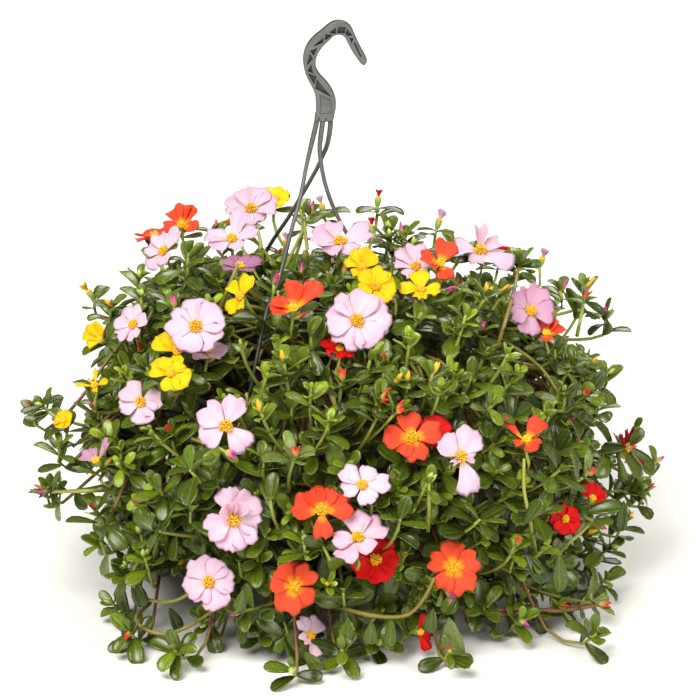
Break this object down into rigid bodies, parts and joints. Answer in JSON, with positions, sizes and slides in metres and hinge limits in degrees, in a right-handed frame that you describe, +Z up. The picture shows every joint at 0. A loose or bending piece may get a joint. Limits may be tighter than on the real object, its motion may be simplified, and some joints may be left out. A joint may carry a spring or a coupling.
{
  "type": "portulaca hanging basket",
  "caption": "Plastic hanging pot of trailing portulaca: a mound of fleshy leafy stems with five-petalled blooms, under a flat truss hook on three slack arms clipped to the rim.",
  "frame": {"origin": "middle of the pot's base, on the surface that the pot stands on", "axes": "+Z up; -Y towards the picture's viewer; +X to the viewer's right; the hook is flat in the X-Z plane"},
  "size_m": [0.53, 0.5325, 0.4404],
  "materials": {
    "hanger_plastic": "satin",
    "pot_plastic": "satin",
    "potting_soil": "rough",
    "leaves": "satin",
    "petals_pink": "satin",
    "petals_orange": "satin",
    "petals_red": "satin",
    "petals_yellow": "satin"
  },
  "bodies": {
    "root": {"bloom_orange_05": "petals_orange", "bloom_orange_13": "petals_orange", "bloom_orange_16": "petals_orange", "bloom_orange_23": "petals_orange", "bloom_orange_24": "petals_orange", "bloom_orange_26": "petals_orange", "bloom_orange_34": "petals_orange", "bloom_orange_42": "petals_orange", "bloom_orange_43": "petals_orange", "bloom_pink_01": "petals_pink", "bloom_pink_02": "petals_pink", "bloom_pink_03": "petals_pink", "bloom_pink_04": "petals_pink", "bloom_pink_06": "petals_pink", "bloom_pink_07": "petals_pink", "bloom_pink_08": "petals_pink", "bloom_pink_09": "petals_pink", "bloom_pink_10": "petals_pink", "bloom_pink_11": "petals_pink", "bloom_pink_12": "petals_pink", "bloom_pink_14": "petals_pink", "bloom_pink_15": "petals_pink", "bloom_pink_19": "petals_pink", "bloom_pink_21": "petals_pink", "bloom_pink_22": "petals_pink", "bloom_pink_27": "petals_pink", "bloom_pink_29": "petals_pink", "bloom_pink_30": "petals_pink", "bloom_pink_31": "petals_pink", "bloom_pink_32": "petals_pink", "bloom_pink_33": "petals_pink", "bloom_pink_35": "petals_pink", "bloom_pink_36": "petals_pink", "bloom_pink_39": "petals_pink", "bloom_pink_40": "petals_pink", "bloom_pink_44": "petals_pink", "bloom_red_20": "petals_red", "bloom_red_25": "petals_red", "bloom_red_28": "petals_red", "bloom_red_38": "petals_red", "bloom_yellow_17": "petals_yellow", "bloom_yellow_18": "petals_yellow", "bloom_yellow_37": "petals_yellow", "bloom_yellow_41": "petals_yellow", "bunch_inner_1": "leaves", "bunch_inner_2": "leaves", "bunch_inner_3": "leaves", "bunch_inner_4": "leaves", "bunch_outer_1": "leaves", "bunch_outer_2": "leaves", "bunch_outer_3": "leaves", "bunch_outer_4": "leaves", "bunch_outer_5": "leaves", "bunch_outer_6": "leaves", "bunch_outer_7": "leaves", "bunch_outer_8": "leaves", "bunch_outer_9": "leaves", "hanger": "hanger_plastic", "pot": "pot_plastic", "soil": "potting_soil"}
  },
  "joints": []
}
